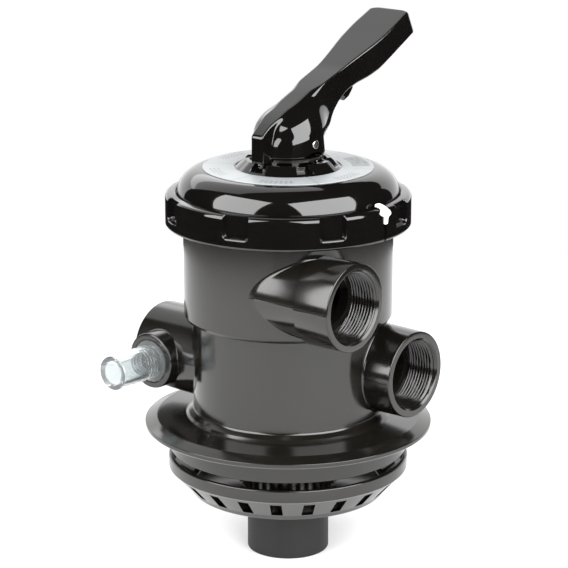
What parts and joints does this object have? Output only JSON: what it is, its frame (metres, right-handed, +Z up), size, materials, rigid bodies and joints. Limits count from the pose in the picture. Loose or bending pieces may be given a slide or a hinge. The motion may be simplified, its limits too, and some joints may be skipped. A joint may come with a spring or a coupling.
{
  "type": "multiport filter valve",
  "caption": "Top-mount multiport selector valve of a sand filter, with threaded ports, clear sight glass, clamped dome lid, lever, neck flange, diffuser and riser socket.",
  "frame": {"origin": "centre of the riser socket's open lower end", "axes": "+Z up along the valve's axis, +X the way the pump and return ports face, +Y the way the lever points"},
  "size_m": [0.198, 0.2185, 0.366],
  "materials": {
    "black_abs": "satin moulded, soft sheen",
    "gloss_abs": "polished moulded gloss",
    "grey_pvc": "matte extruded",
    "grey_abs": "matte moulded",
    "rubber": "matte",
    "clear_plastic": "clear, polished",
    "label_film": "satin printed film",
    "white_nylon": "satin moulded",
    "steel": "bright drawn"
  },
  "bodies": {
    "valve_body": {"lower_body": "black_abs", "upper_body": "black_abs", "spider_gasket": "rubber", "body_oring": "rubber", "diffuser": "black_abs", "riser_socket": "grey_pvc", "riser_oring": "rubber", "sight_glass": "clear_plastic", "sight_glass_gasket": "white_nylon", "lid": "gloss_abs", "lid_oring": "rubber", "position_label": "label_film"},
    "lock_ring": {"lock_ring": "gloss_abs", "ring_lock_tab": "white_nylon"},
    "turning_head": {"cam_washer": "black_abs", "spring_washer_upper": "white_nylon", "rotor_spring": "steel"},
    "rotor": {"rotor": "grey_abs", "shaft_oring_upper": "rubber", "shaft_oring_lower": "rubber", "spring_washer_lower": "white_nylon", "lever_pin": "steel"},
    "lever": {"lever": "gloss_abs"}
  },
  "joints": [
    {"name": "lock_ring_turn", "type": "hinge", "parent": "valve_body", "child": "lock_ring", "pos_m": [0, 0, 0.245], "axis": [0, 0, 1], "range_deg": [0, 22.5]},
    {"name": "selector_turn", "type": "hinge", "parent": "valve_body", "child": "turning_head", "pos_m": [0, 0, 0.27], "axis": [0, 0, 1], "continuous": true},
    {"name": "rotor_lift", "type": "slide", "parent": "turning_head", "child": "rotor", "axis": [0, 0, 1], "range_m": [0, 0.0052], "stiffness_N_per_m": 700, "springref_m": -0.01, "deforming": ["rotor_spring"]},
    {"name": "lever_tilt", "type": "hinge", "parent": "rotor", "child": "lever", "pos_m": [0, 0, 0.29], "axis": [-1, 0, 0], "range_deg": [0, 18]}
  ],
  "couplings": [
    {"joint": "rotor_lift", "follows": "lever_tilt", "m_per_rad": 0.0164}
  ]
}
